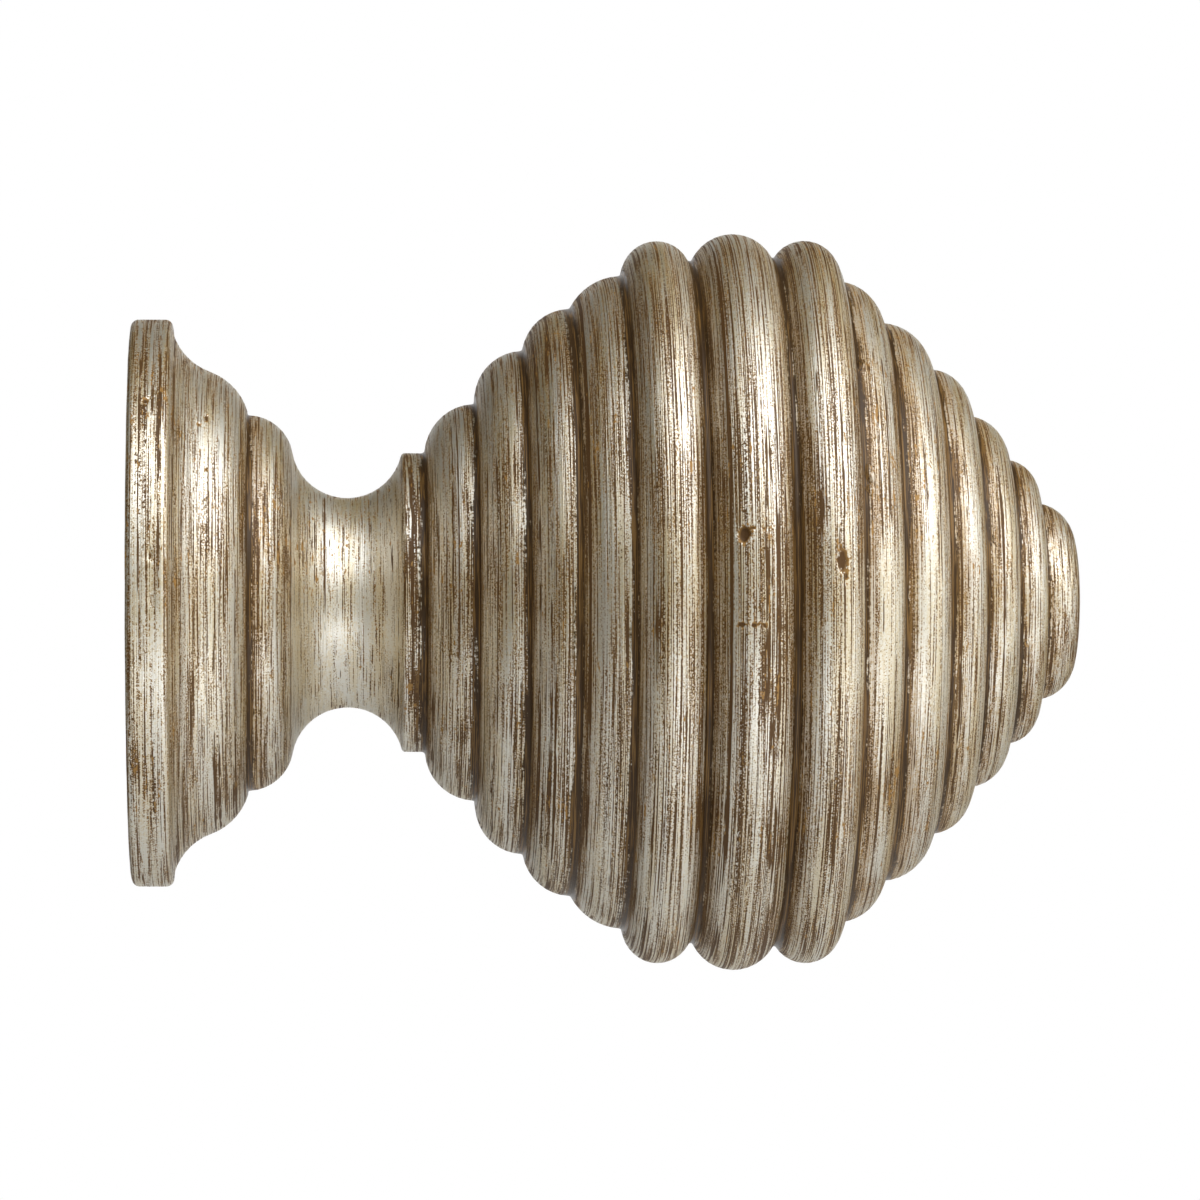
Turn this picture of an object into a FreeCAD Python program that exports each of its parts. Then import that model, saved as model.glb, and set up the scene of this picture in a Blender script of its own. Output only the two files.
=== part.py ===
import FreeCAD, Part
import math
import os

import Sketcher
from FreeCAD import Vector

# A curtain pole finial, turned from one piece of wood: a flange that meets the end of the pole, an ogee,
# a quarter-round bead, a hollowed neck with a collar, and a ribbed ball that ends in a low dome.
# Millimetres. The origin is the centre of the flat back face, +X is the turning axis out towards the tip,
# and +Z is up when the pole is level.

SIZES = {
    "flange_diameter": 60.0,
    "flange_width": 4.4,
    "flange_back_round": 0.8,
    "flange_front_round": 0.8,
    "flange_face": 0.55,
    "ogee_width": 7.85,
    "ogee_drop": 8.35,
    "ogee_sweep": 0.68,
    "bead_step": 0.4,
    "bead_radius": 4.8,
    "neck_diameter": 22.2,
    "cove_radius": 5.9,
    "collar_height": 4.75,
    "collar_width": 2.1,
    "collar_edge_round": 0.4,
    "rear_rib_1_width": 5.4,
    "rear_rib_1_rise": 5.2,
    "rear_rib_2_width": 5.0,
    "rear_rib_2_rise": 5.65,
    "rear_rib_3_width": 5.0,
    "rear_rib_3_rise": 4.45,
    "rear_rib_4_width": 5.6,
    "rear_rib_4_rise": 3.5,
    "waist_rib_1_width": 7.1,
    "waist_rib_1_rise": 0.45,
    "waist_rib_1_crown": 3.45,
    "waist_rib_2_width": 8.85,
    "waist_rib_2_rise": 0.85,
    "waist_rib_2_crown": 3.55,
    "waist_rib_3_width": 6.7,
    "waist_rib_3_drop": 1.85,
    "waist_rib_3_crown": 3.35,
    "front_rib_1_width": 4.7,
    "front_rib_1_drop": 4.4,
    "front_rib_2_width": 5.25,
    "front_rib_2_drop": 4.95,
    "front_rib_3_width": 4.0,
    "front_rib_3_drop": 4.95,
    "front_rib_4_width": 4.1,
    "front_rib_4_drop": 4.65,
    "front_rib_5_width": 3.15,
    "front_rib_5_drop": 4.65,
    "tip_shoulder_width": 4.1,
    "tip_shoulder_drop": 5.25,
    "tip_dome_height": 0.8,
    "fixing_hole_diameter": 6.0,
    "fixing_hole_depth": 32.0,
    "fixing_hole_point_angle": 118.0,
}
REAR_RIBS = ("rear_rib_1", "rear_rib_2", "rear_rib_3", "rear_rib_4")
RISING_WAIST_RIBS = ("waist_rib_1", "waist_rib_2")
FALLING_WAIST_RIB = "waist_rib_3"
FRONT_RIBS = ("front_rib_1", "front_rib_2", "front_rib_3", "front_rib_4", "front_rib_5")

SHEET = "Sizes"
FULL_TURN = 360.0

# A sketch's own names for its axes and for the points of its lines and arcs
HORIZONTAL_AXIS = -1
SKETCH_ORIGIN = (-1, 1)
FIRST, LAST, CENTRE = 1, 2, 3


def cell(name):
    """The expression for one size in the sheet."""
    return f"{SHEET}.{name}"


def make_sheet(doc):
    """The sheet of driving sizes, one row each: its name in words and its value."""
    sheet = doc.addObject("Spreadsheet::Sheet", SHEET)
    for row, (name, value) in enumerate(SIZES.items(), start=1):
        sheet.set(f"A{row}", name.replace("_", " "))
        sheet.set(f"B{row}", str(value))
        sheet.setAlias(f"B{row}", name)
    doc.recompute()


def make_sketch(body, name, plane):
    """An empty sketch on one of the body's own origin planes."""
    sketch = body.newObject("Sketcher::SketchObject", name)
    planes = {feature.Role: feature for feature in body.Origin.OriginFeatures}
    sketch.AttachmentSupport = [(planes[plane], "")]
    sketch.MapMode = "FlatFace"
    return sketch


class HalfSection:
    """One side of the turning above its axis, drawn stretch by stretch from the back face to the tip.

    Each stretch starts where the last one ended. Its sizes are expressions, worked out once to draw it in
    place and then tied to it as constraints.
    """

    def __init__(self, sketch):
        self.sketch = sketch
        self.end = SKETCH_ORIGIN
        self.x = 0.0
        self.r = 0.0

    def worked_out(self, expression):
        return float(self.sketch.evalExpression(expression))

    def relate(self, kind, *points):
        self.sketch.addConstraint(Sketcher.Constraint(kind, *points))

    def tie(self, name, kind, *points, to):
        """Holds a distance or a radius of the outline to an expression of the sheet."""
        value = self.worked_out(to)
        index = self.sketch.addConstraint(Sketcher.Constraint(kind, *points, value))
        self.sketch.renameConstraint(index, name)
        self.sketch.setExpression(f"Constraints.{name}", to)

    def line(self, x, r):
        stretch = Part.LineSegment(Vector(self.x, self.r, 0), Vector(x, r, 0))
        index = self.sketch.addGeometry(stretch)
        self.relate("Coincident", *self.end, index, FIRST)
        self.end = (index, LAST)
        self.x, self.r = x, r
        return index

    def arc(self, centre_x, centre_r, x, r, hollow=False, tangent=False):
        """An arc to x, r about a centre, swelling outwards unless it is hollow."""
        radius = math.hypot(x - centre_x, r - centre_r)
        start_angle = math.atan2(self.r - centre_r, self.x - centre_x)
        end_angle = math.atan2(r - centre_r, x - centre_x)
        circle = Part.Circle(Vector(centre_x, centre_r, 0), Vector(0, 0, 1), radius)
        if hollow:
            index = self.sketch.addGeometry(Part.ArcOfCircle(circle, start_angle, end_angle))
            start, end = FIRST, LAST
        else:
            index = self.sketch.addGeometry(Part.ArcOfCircle(circle, end_angle, start_angle))
            start, end = LAST, FIRST
        self.relate("Tangent" if tangent else "Coincident", *self.end, index, start)
        self.end = (index, end)
        self.x, self.r = x, r
        return index

    def face(self, name, rise=None, drop=None):
        """A flat face square to the axis, going outwards by a rise or inwards by a drop."""
        start = self.end
        change = self.worked_out(rise) if rise else -self.worked_out(drop)
        index = self.line(self.x, self.r + change)
        self.relate("Vertical", index)
        points = (*start, *self.end) if rise else (*self.end, *start)
        self.tie(name, "DistanceY", *points, to=rise or drop)

    def land(self, name, width):
        """A straight run along the axis."""
        start = self.end
        index = self.line(self.x + self.worked_out(width), self.r)
        self.relate("Horizontal", index)
        self.tie(name, "DistanceX", *start, *self.end, to=width)

    def rising_round(self, name, width, rise):
        """A round that springs up from the last stretch and runs out level."""
        start = self.end
        across, up = self.worked_out(width), self.worked_out(rise)
        radius = (across ** 2 + up ** 2) / (2 * up)
        x, r = self.x + across, self.r + up
        index = self.arc(x, r - radius, x, r)
        self.relate("Vertical", index, CENTRE, *self.end)
        self.tie(f"{name}_width", "DistanceX", *start, *self.end, to=width)
        self.tie(f"{name}_rise", "DistanceY", *start, *self.end, to=rise)

    def falling_round(self, name, width, drop):
        """A round that starts level and falls away."""
        start = self.end
        across, down = self.worked_out(width), self.worked_out(drop)
        radius = (across ** 2 + down ** 2) / (2 * down)
        index = self.arc(self.x, self.r - radius, self.x + across, self.r - down)
        self.relate("Vertical", index, CENTRE, *start)
        self.tie(f"{name}_width", "DistanceX", *start, *self.end, to=width)
        self.tie(f"{name}_drop", "DistanceY", *self.end, *start, to=drop)

    def bowed(self, name, width, bow, rise=None, drop=None, hollow=False):
        """An arc that stands off its chord by a bow, outwards or, if it is hollow, inwards."""
        start = self.end
        change = rise or drop
        across, off_chord = self.worked_out(width), self.worked_out(bow)
        up = self.worked_out(rise) if rise else -self.worked_out(drop)
        bow_radius = f"(({width}) ^ 2 + ({change}) ^ 2) / (8 * {bow}) + {bow} / 2"
        chord = math.hypot(across, up)
        outwards = -1 if hollow else 1
        to_centre = outwards * (off_chord - self.worked_out(bow_radius)) / chord
        centre_x = self.x + across / 2 - up * to_centre
        centre_r = self.r + up / 2 + across * to_centre
        index = self.arc(centre_x, centre_r, self.x + across, self.r + up, hollow=hollow)
        points = (*start, *self.end) if rise else (*self.end, *start)
        self.tie(f"{name}_width", "DistanceX", *start, *self.end, to=width)
        self.tie(f"{name}_change", "DistanceY", *points, to=change)
        self.tie(f"{name}_radius", "Radius", index, to=bow_radius)


def draw_flange_and_ogee(section):
    """The flange's rounded rim, then the ogee that falls from it in a hollow and a swelling half."""
    rim = f"{cell('flange_diameter')} / 2 - {cell('flange_back_round')}"
    rim_width = f"{cell('flange_width')} - {cell('flange_back_round')} - {cell('flange_front_round')}"
    section.face("flange_back", rise=rim)
    section.rising_round("flange_back_round", cell("flange_back_round"), cell("flange_back_round"))
    section.land("flange_rim", rim_width)
    section.falling_round("flange_front_round", cell("flange_front_round"), cell("flange_front_round"))
    section.face("flange_face", drop=cell("flange_face"))
    half_width = f"{cell('ogee_width')} / 2"
    half_drop = f"{cell('ogee_drop')} / 2"
    section.bowed("ogee_hollow", half_width, cell("ogee_sweep"), drop=half_drop, hollow=True)
    section.bowed("ogee_swell", half_width, cell("ogee_sweep"), drop=half_drop)
    section.face("bead_step", drop=cell("bead_step"))


def draw_neck(section):
    """The bead that sweeps into the neck's cove, and the cove that sweeps out to the collar's edge."""
    bead_radius = section.worked_out(cell("bead_radius"))
    cove_radius = section.worked_out(cell("cove_radius"))
    edge_radius = section.worked_out(cell("collar_edge_round"))
    collar = f"{cell('neck_diameter')} / 2 + {cell('collar_height')}"
    cove_line = f"{cell('neck_diameter')} / 2 + {cell('cove_radius')}"
    cove_r = section.worked_out(cove_line)
    edge_r = section.worked_out(collar) - edge_radius

    bead_start = section.end
    bead_x, bead_r = section.x, section.r - bead_radius
    reach = bead_radius + cove_radius
    cove_x = bead_x + math.sqrt(reach ** 2 - (cove_r - bead_r) ** 2)
    share = bead_radius / reach
    bead = section.arc(bead_x, bead_r, bead_x + share * (cove_x - bead_x), bead_r + share * (cove_r - bead_r))
    section.relate("Vertical", bead, CENTRE, *bead_start)
    section.tie("bead_radius", "Radius", bead, to=cell("bead_radius"))

    reach = cove_radius + edge_radius
    edge_x = cove_x + math.sqrt(reach ** 2 - (cove_r - edge_r) ** 2)
    share = cove_radius / reach
    cove_end_x = cove_x + share * (edge_x - cove_x)
    cove_end_r = cove_r + share * (edge_r - cove_r)
    cove = section.arc(cove_x, cove_r, cove_end_x, cove_end_r, hollow=True, tangent=True)
    section.tie("cove_radius", "Radius", cove, to=cell("cove_radius"))
    section.tie("cove_line", "DistanceY", *SKETCH_ORIGIN, cove, CENTRE, to=cove_line)

    edge = section.arc(edge_x, edge_r, edge_x, edge_r + edge_radius, tangent=True)
    section.relate("Vertical", edge, CENTRE, *section.end)
    section.tie("collar_edge_round", "Radius", edge, to=cell("collar_edge_round"))
    section.tie("collar_line", "DistanceY", *SKETCH_ORIGIN, *section.end, to=collar)
    section.land("collar_width", cell("collar_width"))


def draw_ball(section):
    """The ribs that step up to the waist, the beads round it, the ribs that step down, and the tip."""
    for rib in REAR_RIBS:
        section.rising_round(rib, cell(f"{rib}_width"), cell(f"{rib}_rise"))
    for rib in RISING_WAIST_RIBS:
        section.bowed(rib, cell(f"{rib}_width"), cell(f"{rib}_crown"), rise=cell(f"{rib}_rise"))
    rib = FALLING_WAIST_RIB
    section.bowed(rib, cell(f"{rib}_width"), cell(f"{rib}_crown"), drop=cell(f"{rib}_drop"))
    for rib in FRONT_RIBS:
        section.falling_round(rib, cell(f"{rib}_width"), cell(f"{rib}_drop"))
    section.falling_round("tip_shoulder", cell("tip_shoulder_width"), cell("tip_shoulder_drop"))

    dome_start = section.end
    height = section.worked_out(cell("tip_dome_height"))
    radius = (section.r ** 2 + height ** 2) / (2 * height)
    tip_x = section.x + height
    dome = section.arc(tip_x - radius, 0.0, tip_x, 0.0)
    section.relate("PointOnObject", dome, CENTRE, HORIZONTAL_AXIS)
    section.relate("PointOnObject", *section.end, HORIZONTAL_AXIS)
    section.tie("tip_dome_height", "DistanceX", *dome_start, *section.end, to=cell("tip_dome_height"))


def turn_body(body):
    """The solid of revolution, turned about X from its half section."""
    sketch = make_sketch(body, "HalfSection", "XZ_Plane")
    section = HalfSection(sketch)
    draw_flange_and_ogee(section)
    draw_neck(section)
    draw_ball(section)
    section.line(0.0, 0.0)
    section.relate("Coincident", *section.end, *SKETCH_ORIGIN)
    turning = body.newObject("PartDesign::Revolution", "Turning")
    turning.Profile = sketch
    turning.ReferenceAxis = (sketch, ["H_Axis"])
    turning.Angle = FULL_TURN
    return section, turning


def drill_fixing_hole(body):
    """The blind hole in the back face for the screw that joins the finial to the pole."""
    sketch = make_sketch(body, "FixingHoleCentre", "YZ_Plane")
    radius = SIZES["fixing_hole_diameter"] / 2
    circle = sketch.addGeometry(Part.Circle(Vector(0, 0, 0), Vector(0, 0, 1), radius))
    sketch.addConstraint(Sketcher.Constraint("Coincident", circle, CENTRE, *SKETCH_ORIGIN))
    index = sketch.addConstraint(Sketcher.Constraint("Diameter", circle, 2 * radius))
    sketch.renameConstraint(index, "diameter")
    sketch.setExpression("Constraints.diameter", cell("fixing_hole_diameter"))
    hole = body.newObject("PartDesign::Hole", "FixingHole")
    hole.Profile = sketch
    body.Document.recompute()
    hole.ThreadType = "None"
    hole.DepthType = "Dimension"
    hole.DrillPoint = "Angled"
    hole.Reversed = True
    hole.setExpression("Diameter", cell("fixing_hole_diameter"))
    hole.setExpression("Depth", cell("fixing_hole_depth"))
    hole.setExpression("DrillPointAngle", cell("fixing_hole_point_angle"))
    return hole


def check_document(doc, section, turning, drilled, body):
    """Stops unless every object is sound, the half section is fully held and the hole took wood away."""
    for item in doc.Objects:
        if "Invalid" in item.State or "Error" in item.State:
            raise RuntimeError(f"{item.Label} did not build: {item.State}")
    if not section.sketch.FullyConstrained:
        raise RuntimeError("the half section is not fully held")
    shape = body.Shape
    if shape.isNull() or not shape.isValid() or len(shape.Solids) != 1:
        raise RuntimeError(f"{body.Label} is not one sound solid")
    bored = turning.Shape.Volume - drilled.Shape.Volume
    least = math.pi * (SIZES["fixing_hole_diameter"] / 2) ** 2 * SIZES["fixing_hole_depth"]
    if bored < least:
        raise RuntimeError("the fixing hole points away from the wood")


doc = FreeCAD.newDocument("CurtainPoleFinial")
make_sheet(doc)
finial = doc.addObject("PartDesign::Body", "Finial")
finial.Label = "finial"
finial.Placement = FreeCAD.Placement()
half_section, turning = turn_body(finial)
doc.recompute()
drilled = drill_fixing_hole(finial)
doc.recompute()
check_document(doc, half_section, turning, drilled, finial)

os.makedirs("parts", exist_ok=True)
finial.Shape.exportStep(f"parts/{finial.Label}.step")
box = finial.Shape.optimalBoundingBox()
print(f"{finial.Label}: {box.XLength:.2f} long, {box.YLength:.2f} across, {finial.Shape.Volume / 1000:.1f} cm3")
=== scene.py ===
import cmath
import math
from dataclasses import dataclass, replace

import bmesh
import bpy
from mathutils import Matrix, Vector, noise


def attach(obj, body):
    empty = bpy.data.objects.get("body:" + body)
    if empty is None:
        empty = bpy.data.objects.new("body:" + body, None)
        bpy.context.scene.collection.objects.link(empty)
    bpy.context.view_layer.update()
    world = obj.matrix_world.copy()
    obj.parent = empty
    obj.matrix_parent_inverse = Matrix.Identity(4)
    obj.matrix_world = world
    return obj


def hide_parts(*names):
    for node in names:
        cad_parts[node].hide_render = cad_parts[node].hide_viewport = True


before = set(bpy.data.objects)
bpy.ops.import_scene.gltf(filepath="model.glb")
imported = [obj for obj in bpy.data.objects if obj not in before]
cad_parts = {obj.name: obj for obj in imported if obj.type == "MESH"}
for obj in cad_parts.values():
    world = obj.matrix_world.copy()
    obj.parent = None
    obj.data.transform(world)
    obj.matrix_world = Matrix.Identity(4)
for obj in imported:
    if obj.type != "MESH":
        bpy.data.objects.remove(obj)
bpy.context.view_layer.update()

# A curtain pole finial, turned in wood and finished in antiqued silver leaf under a brown glaze.
# Its sizes are in millimetres, and what is built from them is in metres.
MM = 0.001

# The turning's sizes, from the hole in its back round to its tip
HOLE_RADIUS = 3.0
HOLE_DEPTH = 32.0
HOLE_POINT = 1.8
HOLE_MOUTH_ROUND = 0.3
FLANGE_RADIUS = 30.0
FLANGE_WIDTH = 4.4
FLANGE_ROUND = 0.8
FLANGE_FACE = 0.55
OGEE_HALF_WIDTH = 3.925
OGEE_HALF_DROP = 4.175
OGEE_SWEEP = 0.68
BEAD_STEP = 0.4
BEAD_RADIUS = 4.8
NECK_RADIUS = 11.1
COVE_RADIUS = 5.9
COLLAR_RADIUS = 15.85
COLLAR_WIDTH = 2.1
COLLAR_EDGE_ROUND = 0.4
TIP_SHOULDER = (4.1, 5.25)
TIP_DOME_HEIGHT = 0.8

# Each rib's width and rise or drop, then the coat that fills its groove and how far its leaf is rubbed through
REAR_RIBS = (
    (5.4, 5.2, 0.40, 0.32),
    (5.0, 5.65, 0.40, 0.32),
    (5.0, 4.45, 0.40, 0.36),
    (5.6, 3.5, 0.45, 0.36),
)
# The beads round the waist have a crown too, after their rise
WAIST_RIBS = (
    (7.1, 0.45, 3.45, 0.60, 0.42),
    (8.85, 0.85, 3.55, 0.45, 0.46),
    (6.7, -1.85, 3.35, 0.45, 0.40),
)
FRONT_RIBS = (
    (4.7, 4.4, 0.40, 0.26),
    (5.25, 4.95, 0.40, 0.22),
    (4.0, 4.95, 0.40, 0.26),
    (4.1, 4.65, 0.35, 0.26),
    (3.15, 4.65, 0.35, 0.30),
)

# The coat in the grooves at the bead and the tip, and how far the leaf is rubbed through away from the ribs
BEAD_FILL = 0.2
TIP_FILL = 0.35
FLANGE_RUBBED = 0.34
NECK_RUBBED = 0.06
ELSEWHERE_RUBBED = 0.38

# How finely the turning is meshed: the widest step along a round stretch and a straight one, the most that an arc
# and a groove's fill turn between rings, the spokes, and how close the points are that become one
RING_SPACING = 0.85
STRAIGHT_SPACING = 3 * RING_SPACING
RING_TURN = math.radians(11)
FILL_TURN = math.radians(28)
SPOKES = 290
MERGED_WITHIN = 0.002

# The slight waver of the hand-laid coats: its whole height, and how wide its waves are
WAVER = 0.10
WAVER_SIZE = 6.0

# What counts as the distance since the last groove where there is none before
NO_GROOVE = 20.0


@dataclass
class Mark:
    """A mark in the coat: where it lies along the axis and up from the camera's level, its half sizes along and
    round, its depth, how steep its edge is and how brown it is. A raised one has a depth below zero."""
    along: float
    degrees_up: float
    half_width: float
    half_length: float
    depth: float
    steep: int
    brown: float


MARKS = (
    Mark(62.28, 10.14, 0.62, 0.85, 0.50, 6, 1.0),
    Mark(63.15, 11.05, 0.45, 0.16, 0.14, 2, 0.9),
    Mark(64.30, 10.90, 0.65, 0.20, 0.14, 2, 0.8),
    Mark(72.20, 6.30, 0.64, 1.25, 0.22, 6, 1.0),
    Mark(72.60, 3.40, 0.25, 0.80, 0.10, 2, 0.9),
    Mark(72.05, 8.20, 0.20, 0.60, 0.10, 2, 0.8),
    Mark(62.00, -3.36, 0.55, 0.34, 0.08, 2, 0.9),
    Mark(63.20, -3.38, 0.50, 0.28, 0.08, 2, 0.9),
    Mark(64.40, -3.42, 0.50, 0.30, 0.08, 2, 0.9),
    Mark(75.55, 45.38, 0.75, 1.10, -0.28, 2, 0.4),
    Mark(76.25, 45.30, 0.35, 0.80, 0.12, 2, 0.8),
    Mark(75.40, 22.90, 0.35, 0.90, -0.30, 2, 0.3),
    Mark(75.80, 21.80, 0.30, 0.90, -0.30, 2, 0.2),
    Mark(75.65, 19.60, 0.55, 0.60, -0.32, 2, 0.3),
    Mark(61.93, -50.19, 0.16, 0.65, -0.12, 4, 0.0),
    Mark(69.76, -58.62, 0.28, 0.35, -0.14, 4, 0.0),
    Mark(2.40, 44.70, 0.45, 0.20, 0.22, 2, 0.0),
    Mark(3.25, 46.20, 0.50, 0.22, 0.22, 2, 0.0),
    Mark(1.91, 43.70, 0.40, 0.45, 0.12, 2, 0.85),
    Mark(2.59, 9.36, 0.45, 0.90, 0.16, 2, 0.45),
    Mark(2.79, 0.62, 0.40, 1.00, 0.16, 2, 0.45),
    Mark(8.13, 51.34, 0.30, 0.70, 0.10, 2, 0.85),
    Mark(7.39, 47.88, 0.22, 0.35, 0.08, 2, 0.75),
    Mark(8.19, 34.08, 0.24, 0.45, 0.08, 2, 0.7),
)

# The finer mesh round a mark: the shortest edge that is cut, the cuts in it, how far past the mark it goes, and
# how far off a face is passed over
CUT_FROM = 0.30
MARK_CUTS = 4
MARK_MARGIN = 0.6
FACE_REACH = 2.0

# A mark's edge wavers, by a share of its size and in so many waves to the millimetre. Its brown fades outwards,
# and stops at MARK_REACH of its half sizes.
EDGE_WAVER = 0.25
EDGE_WAVES = 1.6
MARK_REACH = 1.6
BROWN_AT_MIDDLE = 1.1
BROWN_FADE = 0.55


@dataclass
class Stretch:
    """A straight or round stretch of the outline. A point is along the axis plus 1j times out from it."""
    start: complex
    end: complex
    centre: complex = None
    hollow: bool = False
    fill: float = 0.0
    rubbed: float = ELSEWHERE_RUBBED
    speckled: float = 0.0
    bare: bool = False
    groove: bool = False


class Outline:
    """The half outline, drawn stretch by stretch."""

    def __init__(self, start):
        self.end = start
        self.stretches = []

    def add(self, end, **facts):
        self.stretches.append(Stretch(self.end, end, **facts))
        self.end = end

    def straight(self, along, out, **facts):
        self.add(self.end + complex(along, out), **facts)

    def rising_round(self, width, rise, **facts):
        end = self.end + complex(width, rise)
        radius = (width ** 2 + rise ** 2) / (2 * rise)
        self.add(end, centre=end - 1j * radius, **facts)

    def falling_round(self, width, drop, **facts):
        radius = (width ** 2 + drop ** 2) / (2 * drop)
        self.add(self.end + complex(width, -drop), centre=self.end - 1j * radius, **facts)

    def bowed(self, width, rise, bow, hollow=False, **facts):
        chord = complex(width, rise)
        radius = abs(chord) ** 2 / (8 * bow) + bow / 2
        outwards = 1j * chord / abs(chord)
        to_centre = outwards * (bow - radius)
        centre = self.end + chord / 2 + (-to_centre if hollow else to_centre)
        self.add(self.end + chord, centre=centre, hollow=hollow, **facts)


def circle_of(stretch):
    """The centre and radius of a stretch. A straight one counts as a very wide circle."""
    if stretch.centre is not None:
        return stretch.centre, abs(stretch.end - stretch.centre)
    wide = 1e5
    outwards = 1j * (stretch.end - stretch.start) / abs(stretch.end - stretch.start)
    return stretch.end - outwards * wide, wide


def fill_groove(before, after):
    """The coat that rounds the groove between two stretches, with the two cut back to meet it."""
    centre_a, radius_a = circle_of(before)
    centre_b, radius_b = circle_of(after)
    reach_a, reach_b = radius_a + after.fill, radius_b + after.fill
    between = centre_b - centre_a
    gap = abs(between)
    foot = (reach_a ** 2 - reach_b ** 2 + gap ** 2) / (2 * gap)
    height = math.sqrt(reach_a ** 2 - foot ** 2)
    centre = centre_a + (foot + 1j * height) * between / gap
    first = centre_a + (centre - centre_a) * radius_a / reach_a
    last = centre_b + (centre - centre_b) * radius_b / reach_b
    coat = Stretch(first, last, centre, hollow=True, rubbed=after.rubbed, groove=True)
    return replace(before, end=first), coat, replace(after, start=last, fill=0.0)


def next_round(centre, radius, next_radius, next_out):
    """The centre of the round that runs on smoothly from this one, so far out, and where the two meet."""
    reach = radius + next_radius
    along = math.sqrt(reach ** 2 - (next_out - centre.imag) ** 2)
    next_centre = complex(centre.real + along, next_out)
    return next_centre, centre + (next_centre - centre) * radius / reach


def points_of(stretch):
    """Points along a stretch, without its last one."""
    chord = stretch.end - stretch.start
    if stretch.centre is None:
        count = max(1, math.ceil(abs(chord) / STRAIGHT_SPACING))
        return [stretch.start + chord * step / count for step in range(count)]
    spoke = stretch.start - stretch.centre
    turn = cmath.phase((stretch.end - stretch.centre) / spoke)
    if stretch.hollow and turn < 0:
        turn += 2 * math.pi
    if not stretch.hollow and turn > 0:
        turn -= 2 * math.pi
    step_turn = FILL_TURN if stretch.groove else RING_TURN
    count = max(2, math.ceil(abs(turn) / step_turn), math.ceil(abs(turn * spoke) / RING_SPACING))
    return [stretch.centre + spoke * cmath.exp(1j * turn * step / count) for step in range(count)]


def draw_back(line):
    """The hole, from its point to its rounded mouth, and the flat back."""
    mouth_out = HOLE_RADIUS + HOLE_MOUTH_ROUND
    line.add(complex(HOLE_DEPTH, HOLE_RADIUS), bare=True)
    line.add(complex(HOLE_MOUTH_ROUND, HOLE_RADIUS), bare=True)
    line.add(complex(0.0, mouth_out), centre=complex(HOLE_MOUTH_ROUND, mouth_out), bare=True)
    line.add(complex(0.0, FLANGE_RADIUS - FLANGE_ROUND), bare=True)


def draw_flange(line):
    """The flange's speckled rim, its face and the ogee."""
    rim = {"rubbed": FLANGE_RUBBED, "speckled": 1.0}
    line.rising_round(FLANGE_ROUND, FLANGE_ROUND, **rim)
    line.straight(FLANGE_WIDTH - 2 * FLANGE_ROUND, 0.0, **rim)
    line.falling_round(FLANGE_ROUND, FLANGE_ROUND, **rim)
    line.straight(0.0, -FLANGE_FACE)
    line.bowed(OGEE_HALF_WIDTH, -OGEE_HALF_DROP, OGEE_SWEEP, hollow=True)
    line.bowed(OGEE_HALF_WIDTH, -OGEE_HALF_DROP, OGEE_SWEEP)


def draw_neck(line):
    """The bead, the hollowed neck and its collar."""
    line.straight(0.0, -BEAD_STEP)
    bead_centre = line.end - 1j * BEAD_RADIUS
    cove_centre, bead_end = next_round(bead_centre, BEAD_RADIUS, COVE_RADIUS, NECK_RADIUS + COVE_RADIUS)
    edge_out = COLLAR_RADIUS - COLLAR_EDGE_ROUND
    edge_centre, cove_end = next_round(cove_centre, COVE_RADIUS, COLLAR_EDGE_ROUND, edge_out)
    line.add(bead_end, centre=bead_centre, fill=BEAD_FILL)
    line.add(cove_end, centre=cove_centre, hollow=True, rubbed=NECK_RUBBED)
    line.add(edge_centre + 1j * COLLAR_EDGE_ROUND, centre=edge_centre)
    line.straight(COLLAR_WIDTH, 0.0)


def draw_ball(line):
    """The ribs that rise, the beads round the waist and the ribs that fall."""
    for width, rise, fill, rubbed in REAR_RIBS:
        line.rising_round(width, rise, fill=fill, rubbed=rubbed)
    for width, rise, crown, fill, rubbed in WAIST_RIBS:
        line.bowed(width, rise, crown, fill=fill, rubbed=rubbed)
    for width, drop, fill, rubbed in FRONT_RIBS:
        line.falling_round(width, drop, fill=fill, rubbed=rubbed)


def draw_tip(line):
    """The tip's shoulder and its low dome."""
    line.falling_round(*TIP_SHOULDER, fill=TIP_FILL)
    dome_radius = (line.end.imag ** 2 + TIP_DOME_HEIGHT ** 2) / (2 * TIP_DOME_HEIGHT)
    tip = line.end.real + TIP_DOME_HEIGHT
    line.add(complex(tip, 0.0), centre=complex(tip - dome_radius, 0.0))


def draw_outline():
    """The whole half outline, with the coat in its grooves."""
    line = Outline(complex(HOLE_DEPTH + HOLE_POINT, 0.0))
    for draw in (draw_back, draw_flange, draw_neck, draw_ball, draw_tip):
        draw(line)
    filled = []
    for stretch in line.stretches:
        if stretch.fill:
            filled[-1:] = fill_groove(filled[-1], stretch)
        else:
            filled.append(stretch)
    return filled


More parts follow.
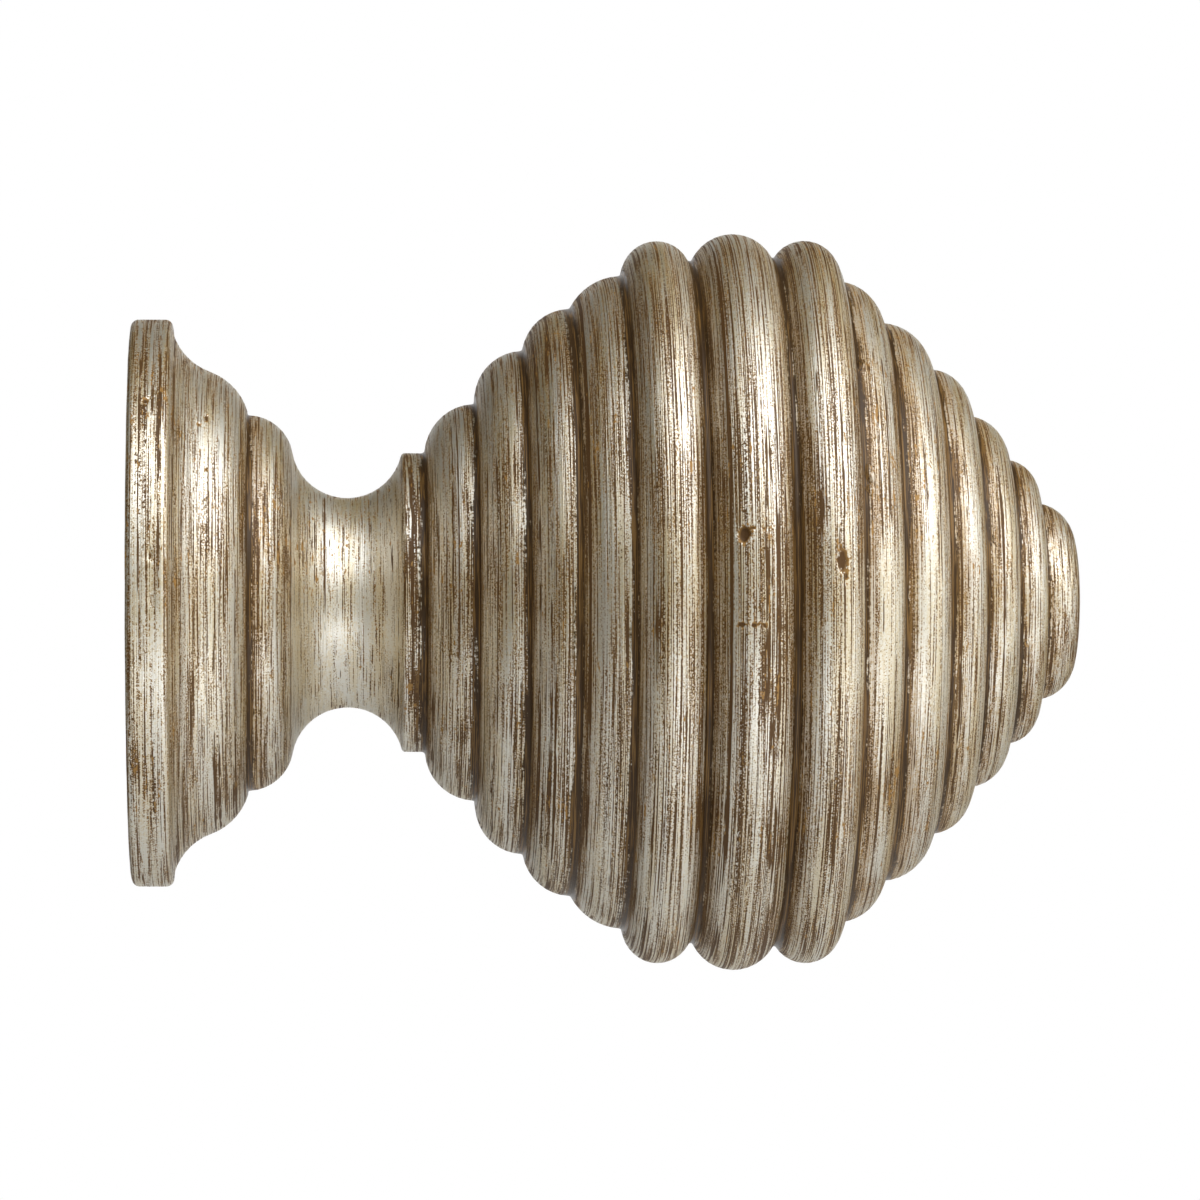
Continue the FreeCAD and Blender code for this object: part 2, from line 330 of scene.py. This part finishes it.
def outline_facts(stretches):
    """The outline's points, what the finish has to know at each one, and how many of them are bare wood."""
    points, rubbed, speckled, bottoms = [], [], [], []
    bare_count = 0
    for stretch in stretches:
        along = points_of(stretch)
        if stretch.groove:
            bottoms.append(len(points) + len(along) // 2)
        points += along
        rubbed += [stretch.rubbed] * len(along)
        speckled += [stretch.speckled] * len(along)
        if stretch.bare:
            bare_count = len(points)
    points.append(stretches[-1].end)
    rubbed.append(stretches[-1].rubbed)
    speckled.append(stretches[-1].speckled)

    travelled = [0.0]
    for before, after in zip(points, points[1:]):
        travelled.append(travelled[-1] + abs(after - before))
    grooves = [travelled[bottom] for bottom in bottoms]
    last_groove = [
        max((groove for groove in grooves if groove <= here), default=-NO_GROOVE) for here in travelled
    ]
    facts = {
        "groove": [min(abs(here - groove) for groove in grooves) for here in travelled],
        "since_groove": [here - last for here, last in zip(travelled, last_groove)],
        "rubbed": rubbed,
        "speckled": speckled,
    }
    return points, facts, bare_count


def put(tree, kind, inputs=(), **settings):
    """One node in a tree. Each of its inputs is a value or another node's output."""
    node = tree.nodes.new(kind)
    for name, value in settings.items():
        setattr(node, name, value)
    for key, value in dict(inputs).items():
        if isinstance(value, bpy.types.NodeSocket):
            tree.links.new(value, node.inputs[key])
        else:
            node.inputs[key].default_value = value
    return node


def work_out(tree, operation, *values):
    """The result of a Math node."""
    return put(tree, "ShaderNodeMath", enumerate(values), operation=operation).outputs[0]


def run_through(tree, operation, first, *others):
    """The result of one Math operation over several values, one after another."""
    for other in others:
        first = work_out(tree, operation, first, other)
    return first


def vector_work(tree, operation, *values):
    """The result of a Vector Math node."""
    return put(tree, "ShaderNodeVectorMath", enumerate(values), operation=operation).outputs[0]


def scaled(tree, vector, scale):
    """A vector times a number."""
    return put(tree, "ShaderNodeVectorMath", {0: vector, "Scale": scale}, operation="SCALE").outputs[0]


def length_on(tree, vector, axes):
    """The length of a vector, counted on some of its axes only."""
    flat = vector_work(tree, "MULTIPLY", vector, axes)
    return put(tree, "ShaderNodeVectorMath", {0: flat}, operation="LENGTH").outputs["Value"]


def spread(tree, value, low, high, to_low=0.0, to_high=1.0):
    """A value taken from one range to another, smoothly and within it."""
    return put(tree, "ShaderNodeMapRange", {
        "Value": value, "From Min": low, "From Max": high, "To Min": to_low, "To Max": to_high,
    }, interpolation_type="SMOOTHSTEP").outputs[0]


def blend(tree, share, first, second):
    """The colour between two colours."""
    return put(tree, "ShaderNodeMix", {0: share, 6: first, 7: second}, data_type="RGBA").outputs[2]


def clouds(tree, place, scale, detail):
    """Soft noise, with so many clouds to the metre."""
    return put(tree, "ShaderNodeTexNoise", {"Vector": place, "Scale": scale, "Detail": detail}).outputs[0]


def add_object(name, data):
    """A new object in the scene."""
    made = bpy.data.objects.new(name, data)
    bpy.context.scene.collection.objects.link(made)
    return made


def rolled_sheet(tree, outline, spokes, facts):
    """A sheet of rings and spokes rolled round X to the outline, with the outline's facts on its points."""
    rings = put(tree, "GeometryNodeAttributeDomainSize", {"Geometry": outline}).outputs["Point Count"]
    spoke_points = work_out(tree, "ADD", spokes, 1)
    sheet = put(tree, "GeometryNodeMeshGrid", {
        "Size X": 1.0, "Size Y": 1.0, "Vertices X": rings, "Vertices Y": spoke_points,
    }).outputs["Mesh"]
    index = put(tree, "GeometryNodeInputIndex").outputs[0]
    # Half a point more keeps the ring's first point from being rounded down to the ring before
    past_index = work_out(tree, "ADD", index, 0.5)
    ring = work_out(tree, "FLOOR", work_out(tree, "DIVIDE", past_index, spoke_points))
    spoke = work_out(tree, "SUBTRACT", index, work_out(tree, "MULTIPLY", ring, spoke_points))
    angle = work_out(tree, "MULTIPLY", work_out(tree, "DIVIDE", spoke, spokes), 2 * math.pi)

    def from_outline(kind, value):
        return put(tree, "GeometryNodeSampleIndex", {
            "Geometry": outline, "Value": value, "Index": ring,
        }, data_type=kind, domain="POINT").outputs[0]

    def keep(geometry, name, value):
        return put(tree, "GeometryNodeStoreNamedAttribute", {
            "Geometry": geometry, "Name": name, "Value": value,
        }, data_type="FLOAT", domain="POINT").outputs["Geometry"]

    for name in facts:
        fact = put(tree, "GeometryNodeInputNamedAttribute", {"Name": name}, data_type="FLOAT")
        sheet = keep(sheet, name, from_outline("FLOAT", fact.outputs["Attribute"]))
    sheet = keep(sheet, "ring", ring)

    place = from_outline("FLOAT_VECTOR", put(tree, "GeometryNodeInputPosition").outputs[0])
    place = put(tree, "ShaderNodeSeparateXYZ", {0: place}).outputs
    turned = put(tree, "ShaderNodeCombineXYZ", {
        "X": place["X"],
        "Y": work_out(tree, "MULTIPLY", place["Z"], work_out(tree, "COSINE", angle)),
        "Z": work_out(tree, "MULTIPLY", place["Z"], work_out(tree, "SINE", angle)),
    }).outputs[0]
    body = put(tree, "GeometryNodeSetPosition", {"Geometry": sheet, "Position": turned}).outputs[0]
    body = put(tree, "GeometryNodeMergeByDistance", {"Geometry": body, "Distance": MERGED_WITHIN * MM}).outputs[0]
    return put(tree, "GeometryNodeFlipFaces", {"Mesh": body}).outputs[0]


def wavered(tree, body, waver, waver_size):
    """The body with the slight waver of its coats."""
    place = put(tree, "GeometryNodeInputPosition").outputs[0]
    wave = clouds(tree, place, work_out(tree, "DIVIDE", 1.0, waver_size), 2.0)
    lift = work_out(tree, "MULTIPLY", work_out(tree, "SUBTRACT", wave, 0.5), waver)
    normal = put(tree, "GeometryNodeInputNormal").outputs[0]
    offset = scaled(tree, normal, lift)
    return put(tree, "GeometryNodeSetPosition", {"Geometry": body, "Offset": offset}).outputs[0]


def turning_tree(facts):
    """Turns a half outline about X into a closed body of leaf and bare wood."""
    tree = bpy.data.node_groups.new("finial turning", "GeometryNodeTree")
    for name, kind in (
        ("Half Outline", "Geometry"),
        ("Spokes", "Int"),
        ("Waver", "Float"),
        ("Waver Size", "Float"),
        ("Bare Rings", "Float"),
        ("Leaf", "Material"),
        ("Bare Wood", "Material"),
    ):
        tree.interface.new_socket(name, in_out="INPUT", socket_type=f"NodeSocket{kind}")
    tree.interface.new_socket("Turning", in_out="OUTPUT", socket_type="NodeSocketGeometry")
    given = put(tree, "NodeGroupInput").outputs

    body = rolled_sheet(tree, given["Half Outline"], given["Spokes"], facts)
    body = wavered(tree, body, given["Waver"], given["Waver Size"])
    body = put(tree, "GeometryNodeSetShadeSmooth", {"Geometry": body}).outputs[0]
    body = put(tree, "GeometryNodeRealizeInstances", {"Geometry": body}).outputs[0]
    body = put(tree, "GeometryNodeSetMaterial", {"Geometry": body, "Material": given["Leaf"]}).outputs[0]
    ring = put(tree, "GeometryNodeInputNamedAttribute", {"Name": "ring"}, data_type="FLOAT").outputs["Attribute"]
    body = put(tree, "GeometryNodeSetMaterial", {
        "Geometry": body,
        "Selection": work_out(tree, "LESS_THAN", ring, given["Bare Rings"]),
        "Material": given["Bare Wood"],
    }).outputs[0]
    put(tree, "NodeGroupOutput", {"Turning": body})
    return tree


def set_inputs(modifier, values):
    """Sets a tree's named inputs on the modifier that runs it."""
    for item in modifier.node_group.interface.items_tree:
        if item.in_out == "INPUT" and item.name in values:
            modifier[item.identifier] = values[item.name]


def plain_mesh(piece, name):
    """The evaluated piece as a plain mesh object at the origin, in place of the piece and its modifiers."""
    bpy.context.view_layer.update()
    ready = piece.evaluated_get(bpy.context.evaluated_depsgraph_get())
    mesh = bpy.data.meshes.new_from_object(ready)
    mesh.name = name
    made = add_object(name, mesh)
    bpy.data.objects.remove(piece)
    return made


def make_finial(leaf, bare_wood):
    """The whole turning as one mesh, its outline's facts kept on it for the finish to read."""
    points, facts, bare_count = outline_facts(draw_outline())
    outline = bpy.data.meshes.new("finial outline")
    corners = [(point.real * MM, 0.0, point.imag * MM) for point in points]
    outline.from_pydata(corners, [(at, at + 1) for at in range(len(points) - 1)], [])
    for name, values in facts.items():
        outline.attributes.new(name, "FLOAT", "POINT").data.foreach_set("value", values)
    piece = add_object("finial outline", outline)
    modifier = piece.modifiers.new("turning", "NODES")
    modifier.node_group = turning_tree(facts)
    # A face's ring is the mean of the two that it lies between, so the last bare face stands half a ring below
    # the count of bare points and the first leafed one half a ring above it
    set_inputs(modifier, {
        "Spokes": SPOKES,
        "Waver": WAVER * MM,
        "Waver Size": WAVER_SIZE * MM,
        "Bare Rings": bare_count + 0.25,
        "Leaf": leaf,
        "Bare Wood": bare_wood,
    })
    finial = plain_mesh(piece, "silver_leaf_finial")
    press_marks(finial.data)
    return finial


def from_mark(place, mark):
    """How far a place is from a mark's middle, along and round, in shares of the mark's half sizes."""
    out = math.hypot(place.y, place.z)
    turn = math.atan2(place.z, -place.y) - math.radians(mark.degrees_up)
    return (place.x / MM - mark.along) / mark.half_width, turn * out / MM / mark.half_length


def cut_finer(work, mark):
    """Cuts the mesh finer round a mark."""
    near = set()
    for face in work.faces:
        first = face.verts[0].co
        if first.y > 0 or abs(first.x / MM - mark.along) > mark.half_width + FACE_REACH:
            continue
        across, round_it = from_mark(face.calc_center_median(), mark)
        past_width = (abs(across) - 1) * mark.half_width
        past_length = (abs(round_it) - 1) * mark.half_length
        if max(past_width, past_length) < MARK_MARGIN:
            near.update(edge for edge in face.edges if edge.calc_length() > CUT_FROM * MM)
    bmesh.ops.subdivide_edges(work, edges=list(near), cuts=MARK_CUTS, use_grid_fill=True)
    work.normal_update()


def press(work, mark, chipped):
    """Presses one mark in, or raises it, and notes how far the coat is chipped to brown."""
    pressed = []
    for vert in work.verts:
        if vert.co.y > 0 or abs(vert.co.x / MM - mark.along) > MARK_REACH * mark.half_width:
            continue
        across, round_it = from_mark(vert.co, mark)
        if max(abs(across), abs(round_it)) > MARK_REACH:
            continue
        away = math.hypot(across, round_it) + EDGE_WAVER * noise.noise(vert.co * (EDGE_WAVES / MM))
        if away < 1:
            share = 1 - away ** mark.steep if away > 0 else 1.0
            pressed.append((vert, vert.normal * (-mark.depth * share * MM)))
        shown = min(1.0, max(0.0, BROWN_AT_MIDDLE - BROWN_FADE * away))
        vert[chipped] = max(vert[chipped], mark.brown * shown)
    for vert, step in pressed:
        vert.co += step


def press_marks(mesh):
    """Presses the pits, chips and nicks into the coat, and raises its drips, in a finer mesh round each one."""
    work = bmesh.new()
    work.from_mesh(mesh)
    chipped = work.verts.layers.float.new("chipped")
    for mark in MARKS:
        cut_finer(work, mark)
        press(work, mark, chipped)
    bmesh.ops.triangulate(work, faces=[face for face in work.faces if len(face.verts) > 4])
    work.to_mesh(mesh)
    work.free()
    mesh.update()


# Colours of the finish, as linear values
LEAF_PALE = (0.59, 0.553, 0.45, 1.0)
LEAF_CHAMPAGNE = (0.54, 0.42, 0.19, 1.0)
RUBBED_GOLD = (0.30, 0.165, 0.05, 1.0)
RUBBED_BROWN = (0.085, 0.042, 0.013, 1.0)
UMBER_GLAZE = (0.048, 0.026, 0.010, 1.0)
BARE_WOOD = (0.70, 0.53, 0.35, 1.0)
BARE_WOOD_DARK = (0.52, 0.36, 0.21, 1.0)

# The lines in the leaf: their width and their length round the flange, a seed and how much detail they have
LINES = {
    "hair": (0.11, 12.0, 3.0, 1.0),
    "brush": (0.26, 34.0, 41.0, 2.0),
    "scored": (0.50, 170.0, 19.0, 1.0),
    "bands": (1.5, 26.0, 77.0, 2.0),
    "flecks": (0.30, 5.0, 11.0, 2.0),
    "dabs": (0.45, 2.6, 57.0, 2.0),
}
# The clouds in it: how many to the metre, and how much detail they have
CLOUDS = {
    "grain": (6500.0, 1.0),
    "crumbs": (2600.0, 2.0),
    "patches": (80.0, 3.0),
}
# What the mesh has noted on its points: how far the nearest groove is and the last one towards the flange, and
# how far the leaf is rubbed, speckled and chipped
NOTED = ("groove", "since_groove", "rubbed", "speckled", "chipped")

# How high each pattern has to stand to show: where it starts and where it is full
MOTTLE_SHOWS = (0.36, 0.64)
HAIR_SHOWS = (0.465, 0.505)
HAIR_CORE_SHOWS = (0.52, 0.55)
BRUSH_SHOWS = (0.59, 0.625)
SCORE_SHOWS = (0.605, 0.63)
CHIP_SHOWS = (0.45, 0.58)
CHIP_BROWNS = (0.5, 0.75)
DAB_SHOWS = (0.68, 0.72)
GOLD_IN_GLAZE_SHOWS = (0.52, 0.66)

# How far the hair lines are rubbed to gold, and how far gold shows in the glaze
HAIR_RUBS = 0.92
GOLD_IN_GLAZE = 0.5

# How far from a groove its glaze, the wash wiped out of it and the thinner leaf beside it reach, how strong the
# wash is and how much thinner the leaf. The wash lies on each rib's flange side, which faces away from the key
# lamp, so it is partly painted shade.
GLAZE_REACH = (0.50, 0.78)
WASH_AND_SHADE_REACH = (0.6, 3.0)
WASH_AND_SHADE_TINTS = 0.62
THINNER_REACH = (0.4, 2.4)
THINNER = 0.06

# The metal and the sheen where no silver is left and where all of it is, and the roughness of leaf and of glaze
METAL = (0.05, 0.72)
SHEEN = (0.02, 0.95)
ROUGH = (0.50, 0.28)

# The end grain's pith, its year rings to the metre and how far they wander
PITH = Vector((0.0, -43.0, -21.0))
YEAR_RINGS = 620.0
YEAR_WANDER = 0.8
YEAR_RINGS_SHOW = (0.40, 0.72)
# The wood's clouds and pores, how many to the metre and in what detail, and how far the pores darken it
WOOD_CLOUDS = (120.0, 3.0)
WOOD_PORES = (2600.0, 2.0)
PORES_SHOW = (0.58, 0.70)
PORES_DARKEN = 0.7
# The glaze run over the back's rim: the radii where it starts and where it is full, and how far it wanders
RIM_GLAZE = (29.9, 31.4)
RIM_WANDER = 4.0


def brushed_streaks():
    """Fine lines laid round the turning: narrow across the surface and long round it."""
    tree = bpy.data.node_groups.new("brushed streaks", "ShaderNodeTree")
    for name in ("Width", "Length", "Seed", "Detail"):
        tree.interface.new_socket(name, in_out="INPUT", socket_type="NodeSocketFloat")
    tree.interface.new_socket("Height", in_out="OUTPUT", socket_type="NodeSocketFloat")
    given = put(tree, "NodeGroupInput").outputs

    place = scaled(tree, put(tree, "ShaderNodeTexCoord").outputs["Object"], 1 / MM)
    part = put(tree, "ShaderNodeSeparateXYZ", {0: place}).outputs
    squares = [work_out(tree, "POWER", part[axis], 2.0) for axis in ("Y", "Z")]
    never_nought = 0.0001
    out = work_out(tree, "SQRT", run_through(tree, "ADD", *squares, never_nought))
    round_scale = run_through(tree, "DIVIDE", FLANGE_RADIUS, out, given["Length"])
    sample = put(tree, "ShaderNodeCombineXYZ", {
        "X": work_out(tree, "DIVIDE", part["X"], given["Width"]),
        "Y": work_out(tree, "MULTIPLY", part["Y"], round_scale),
        "Z": work_out(tree, "MULTIPLY", part["Z"], round_scale),
    }).outputs[0]
    depth = work_out(tree, "ADD", work_out(tree, "DIVIDE", out, given["Width"]), given["Seed"])
    lines = put(tree, "ShaderNodeTexNoise", {
        "Vector": sample, "W": depth, "Scale": 1.0, "Detail": given["Detail"], "Roughness": 0.6,
    }, noise_dimensions="4D").outputs[0]
    put(tree, "NodeGroupOutput", {"Height": lines})
    return tree


def new_material(name):
    """An empty node material with its Principled shader."""
    material = bpy.data.materials.new(name)
    material.use_nodes = True
    tree = material.node_tree
    return material, tree, tree.nodes["Principled BSDF"]


class LeafPatterns:
    """The patterns that the leaf's finish is mixed from, by name."""

    def __init__(self, tree, streaks):
        self.tree = tree
        self.named = {}
        place = put(tree, "ShaderNodeTexCoord").outputs["Object"]
        for name, (width, length, seed, detail) in LINES.items():
            sizes = {"Width": width, "Length": length, "Seed": seed, "Detail": detail}
            self.named[name] = put(tree, "ShaderNodeGroup", sizes, node_tree=streaks).outputs["Height"]
        for name, (scale, detail) in CLOUDS.items():
            self.named[name] = clouds(tree, place, scale, detail)
        for name in NOTED:
            self.named[name] = put(tree, "ShaderNodeAttribute", attribute_name=name).outputs["Fac"]

    def weigh(self, **shares):
        """The sum of the named patterns, each counted from its middle and times its share."""
        parts = [
            work_out(self.tree, "MULTIPLY", work_out(self.tree, "SUBTRACT", self.named[name], 0.5), share)
            for name, share in shares.items()
        ]
        return run_through(self.tree, "ADD", *parts)

    def roughened(self, name, **shares):
        """One pattern, made uneven by shares of others."""
        return work_out(self.tree, "ADD", self.named[name], self.weigh(**shares))


def leaf_wear(patterns):
    """Where the leaf is rubbed to gold in hair lines and to brown in brush lines, and where it is chipped off."""
    tree, named = patterns.tree, patterns.named
    # The leaf is thin in bands and patches, on the ribs rubbed most, towards each groove and in the rim's specks
    thin = run_through(
        tree, "ADD",
        patterns.weigh(bands=0.16, patches=0.18, rubbed=0.25),
        spread(tree, named["groove"], *THINNER_REACH, THINNER, 0.0),
        work_out(tree, "MULTIPLY", named["speckled"], patterns.weigh(crumbs=0.16, dabs=0.22)),
    )
    hair = run_through(tree, "ADD", thin, named["hair"], patterns.weigh(grain=0.40))
    to_gold = spread(tree, hair, *HAIR_SHOWS, 0.0, HAIR_RUBS)
    brush = run_through(tree, "ADD", thin, named["brush"], patterns.weigh(grain=0.25, crumbs=0.25))
    score = patterns.roughened("scored", patches=0.3, flecks=0.3, rubbed=0.15)
    brushed = work_out(tree, "MAXIMUM", spread(tree, brush, *BRUSH_SHOWS), spread(tree, score, *SCORE_SHOWS))
    to_brown = work_out(tree, "MAXIMUM", spread(tree, hair, *HAIR_CORE_SHOWS), brushed)
    chip = patterns.roughened("chipped", flecks=0.9, crumbs=0.9)
    dab = patterns.roughened("dabs", patches=0.4, crumbs=0.35, hair=0.25)
    off = work_out(tree, "MAXIMUM", spread(tree, chip, *CHIP_SHOWS), spread(tree, dab, *DAB_SHOWS))
    worn = run_through(tree, "MAXIMUM", to_gold, brushed, off)
    return to_gold, to_brown, off, worn


def make_silver_leaf(streaks):
    """Champagne silver leaf, rubbed through in fine lines round the turning, with umber glaze in the grooves."""
    material, tree, shader = new_material("antiqued_silver_leaf")
    patterns = LeafPatterns(tree, streaks)
    to_gold, to_brown, off, worn = leaf_wear(patterns)

    mottle = patterns.roughened("bands", grain=0.9, crumbs=0.6)
    leaf = blend(tree, spread(tree, mottle, *MOTTLE_SHOWS), LEAF_PALE, LEAF_CHAMPAGNE)
    # The glaze was wiped towards the tip, so a thin wash of it is left on the flange side of each rib. That side
    # faces away from the key lamp, so the gold wash there is partly painted shade as well.
    wash_and_shade_distance = patterns.roughened("since_groove", brush=-4.0, patches=-4.0, flecks=-3.0, crumbs=-2.0)
    wash_and_shade = spread(tree, wash_and_shade_distance, *WASH_AND_SHADE_REACH, WASH_AND_SHADE_TINTS, 0.0)
    under_chips = blend(tree, spread(tree, patterns.named["chipped"], *CHIP_BROWNS), RUBBED_GOLD, RUBBED_BROWN)
    for share, coat in (
        # The wash share here paints shade on each rib's flange side as well as a thin glaze
        (wash_and_shade, RUBBED_GOLD),
        (to_gold, RUBBED_GOLD),
        (to_brown, RUBBED_BROWN),
        (off, under_chips),
    ):
        leaf = blend(tree, share, leaf, coat)

    edge = patterns.roughened("groove", brush=-1.2, patches=-1.2, flecks=-1.4, crumbs=-0.8)
    glazed = spread(tree, edge, *GLAZE_REACH, 1.0, 0.0)
    settled = patterns.roughened("hair", flecks=0.8, brush=0.5)
    golden = spread(tree, settled, *GOLD_IN_GLAZE_SHOWS, 0.0, GOLD_IN_GLAZE)
    glaze = blend(tree, golden, UMBER_GLAZE, RUBBED_GOLD)
    tree.links.new(blend(tree, glazed, leaf, glaze), shader.inputs["Base Color"])

    # Silver is what the wear, the glaze and the wash, which is partly painted shade, leave. It has the metal and
    # the sheen.
    left = [work_out(tree, "SUBTRACT", 1.0, share) for share in (worn, glazed, wash_and_shade)]
    silver = run_through(tree, "MULTIPLY", *left)
    tree.links.new(spread(tree, silver, 0.0, 1.0, *METAL), shader.inputs["Metallic"])
    tree.links.new(spread(tree, glazed, 0.0, 1.0, *ROUGH), shader.inputs["Roughness"])
    tree.links.new(spread(tree, silver, 0.0, 1.0, *SHEEN), shader.inputs["Coat Weight"])
    shader.inputs["Specular IOR Level"].default_value = 0.12
    shader.inputs["Coat Roughness"].default_value = 0.385
    shader.inputs["Coat IOR"].default_value = 3.9

    height = patterns.weigh(hair=-1.0, brush=-1.0, grain=0.25, crumbs=0.4)
    bump = put(tree, "ShaderNodeBump", {"Strength": 0.8, "Distance": 0.06 * MM, "Height": height}).outputs[0]
    tree.links.new(bump, shader.inputs["Normal"])
    tree.links.new(bump, shader.inputs["Coat Normal"])
    return material


def make_bare_wood():
    """End grain on the flat back and in its hole, left as turned, with glaze run over its rim."""
    material, tree, shader = new_material("bare_turned_wood")
    place = put(tree, "ShaderNodeTexCoord").outputs["Object"]
    across_grain = (0.0, 1.0, 1.0)
    wander = clouds(tree, place, *WOOD_CLOUDS)
    from_pith = length_on(tree, vector_work(tree, "SUBTRACT", place, PITH * MM), across_grain)
    years = work_out(
        tree, "ADD",
        work_out(tree, "MULTIPLY", from_pith, YEAR_RINGS),
        work_out(tree, "MULTIPLY", wander, YEAR_WANDER),
    )
    rings = put(
        tree, "ShaderNodeTexNoise", {"W": years, "Scale": 1.0, "Detail": 2.0}, noise_dimensions="1D"
    ).outputs[0]
    pores = clouds(tree, place, *WOOD_PORES)
    wood = blend(tree, spread(tree, rings, *YEAR_RINGS_SHOW), BARE_WOOD, BARE_WOOD_DARK)
    wood = blend(tree, spread(tree, pores, *PORES_SHOW, 0.0, PORES_DARKEN), wood, BARE_WOOD_DARK)
    out = work_out(
        tree, "ADD",
        work_out(tree, "DIVIDE", length_on(tree, place, across_grain), MM),
        work_out(tree, "MULTIPLY", wander, RIM_WANDER),
    )
    wood = blend(tree, spread(tree, out, *RIM_GLAZE), wood, RUBBED_BROWN)
    tree.links.new(wood, shader.inputs["Base Color"])
    shader.inputs["Roughness"].default_value = 0.7
    return material


# The photograph's camera, in millimetres: what it looks at, where it stands and how long its lens is
LOOKED_AT = Vector((49.62, 0.0, 0.245))
CAMERA_PLACE = Vector((17.4, -671.5, 0.245))
CAMERA_ROLL = math.radians(0.1)
LENS = 189.75
SENSOR = 36.0

# The studio, in metres and degrees: the white behind the finial, the room round it and the floor under it
SEEN_TO = 20.0
WHITE = (1.0, 1.0, 1.0, 1.0)
ROOM_DIM = (0.05, 0.048, 0.043, 1.0)
ROOM_BRIGHT = (0.52, 0.50, 0.43, 1.0)
# Where the sweep starts to show and is full, and where the room starts to brighten and is brightest, by direction
SWEEP_SHOWS = (0.88, 0.99)
ROOM_BRIGHTENS = (-0.2, 1.3)
FLOOR_GREY = (0.72, 0.72, 0.72, 1.0)
FLOOR_HEIGHT = -0.30
FLOOR_REACH = 1.0
FLOOR_FADE = (0.6, 0.98)

# Each lamp's azimuth, elevation, distance, width, height and strength, and whether it shows in the leaf's sheen.
# Azimuth 0 is the camera's side and 90 the tip's. All face the middle of the finial.
LAMP_WHITE = (0.985, 1.0, 1.015)
LAMPS = {
    "key softbox": (57, 45, 0.9, 0.9, 0.8, 2.9, True),
    "overhead softbox": (3, 60, 0.9, 0.9, 0.8, 1.7, True),
    "tip side panel": (86, 10, 0.9, 0.8, 0.7, 1.15, True),
    "low reflector": (31, -33, 0.42, 0.8, 0.24, 1.4, True),
    "flange side reflector": (-27, 39, 0.9, 0.45, 0.45, 1.1, True),
    "back fill": (-92, 12, 0.6, 0.5, 0.5, 0.9, False),
}
LIT_MIDDLE = Vector((0.05, 0.0, 0.0))


def aim(place, target):
    """The turn that points an object's -Z from one place to another, with +Y up."""
    return (target - place).to_track_quat("-Z", "Y").to_matrix().to_4x4()


def make_camera():
    """The camera that took the photograph."""
    data = bpy.data.cameras.new("photograph")
    data.sensor_width = SENSOR
    data.lens = LENS
    data.clip_end = SEEN_TO
    camera = add_object("photograph", data)
    turn = aim(CAMERA_PLACE, LOOKED_AT) @ Matrix.Rotation(-CAMERA_ROLL, 4, "Z")
    camera.matrix_world = Matrix.Translation(CAMERA_PLACE * MM) @ turn
    bpy.context.scene.camera = camera


def make_lamp(name, azimuth, elevation, distance, width, height, strength, in_sheen):
    """A soft rectangular lamp. Its strength is how bright its face is."""
    data = bpy.data.lights.new(name, "AREA")
    data.shape = "RECTANGLE"
    data.size, data.size_y = width, height
    data.color = LAMP_WHITE
    data.energy = strength * math.pi * width * height
    lamp = add_object(name, data)
    around, up = math.radians(azimuth), math.radians(elevation)
    towards = Vector((math.sin(around) * math.cos(up), -math.cos(around) * math.cos(up), math.sin(up)))
    place = LIT_MIDDLE + towards * distance
    lamp.matrix_world = Matrix.Translation(place) @ aim(place, LIT_MIDDLE)
    lamp.visible_camera = False
    lamp.visible_glossy = in_sheen


def make_world():
    """A white sweep behind the finial, and a room that is brighter on the tip's side than on the flange's."""
    world = bpy.data.worlds.new("studio")
    bpy.context.scene.world = world
    world.use_nodes = True
    tree = world.node_tree
    rays = put(tree, "ShaderNodeLightPath").outputs
    direction = put(tree, "ShaderNodeTexCoord").outputs["Generated"]
    direction = put(tree, "ShaderNodeSeparateXYZ", {0: direction}).outputs
    behind = spread(tree, direction["Y"], *SWEEP_SHOWS)
    reflected = work_out(tree, "MAXIMUM", rays["Is Glossy Ray"], rays["Is Transmission Ray"])
    white = work_out(tree, "MAXIMUM", rays["Is Camera Ray"], work_out(tree, "MULTIPLY", reflected, behind))
    towards_tip_side = work_out(tree, "SUBTRACT", direction["X"], direction["Y"])
    room = blend(tree, spread(tree, towards_tip_side, *ROOM_BRIGHTENS), ROOM_DIM, ROOM_BRIGHT)
    tree.links.new(blend(tree, white, room, WHITE), tree.nodes["Background"].inputs["Color"])


def make_floor():
    """A pale floor well under the finial, fading out before its edge."""
    mesh = bpy.data.meshes.new("floor")
    near, far = -FLOOR_REACH, FLOOR_REACH
    corners = [(x, y, FLOOR_HEIGHT) for x, y in ((near, near), (far, near), (far, far), (near, far))]
    mesh.from_pydata(corners, [], [(0, 1, 2, 3)])
    floor = add_object("floor", mesh)
    material, tree, shader = new_material("pale_floor")
    shader.inputs["Base Color"].default_value = FLOOR_GREY
    shader.inputs["Roughness"].default_value = 0.9
    place = put(tree, "ShaderNodeTexCoord").outputs["Object"]
    from_middle = length_on(tree, place, (1.0, 1.0, 0.0))
    tree.links.new(spread(tree, from_middle, *FLOOR_FADE, 1.0, 0.0), shader.inputs["Alpha"])
    mesh.materials.append(material)


make_camera()
make_world()
make_floor()
for lamp_name, lamp_facts in LAMPS.items():
    make_lamp(lamp_name, *lamp_facts)

silver_leaf = make_silver_leaf(brushed_streaks())
finial = make_finial(silver_leaf, make_bare_wood())
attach(finial, "root")
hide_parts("finial")

bpy.context.scene.view_settings.view_transform = "Standard"
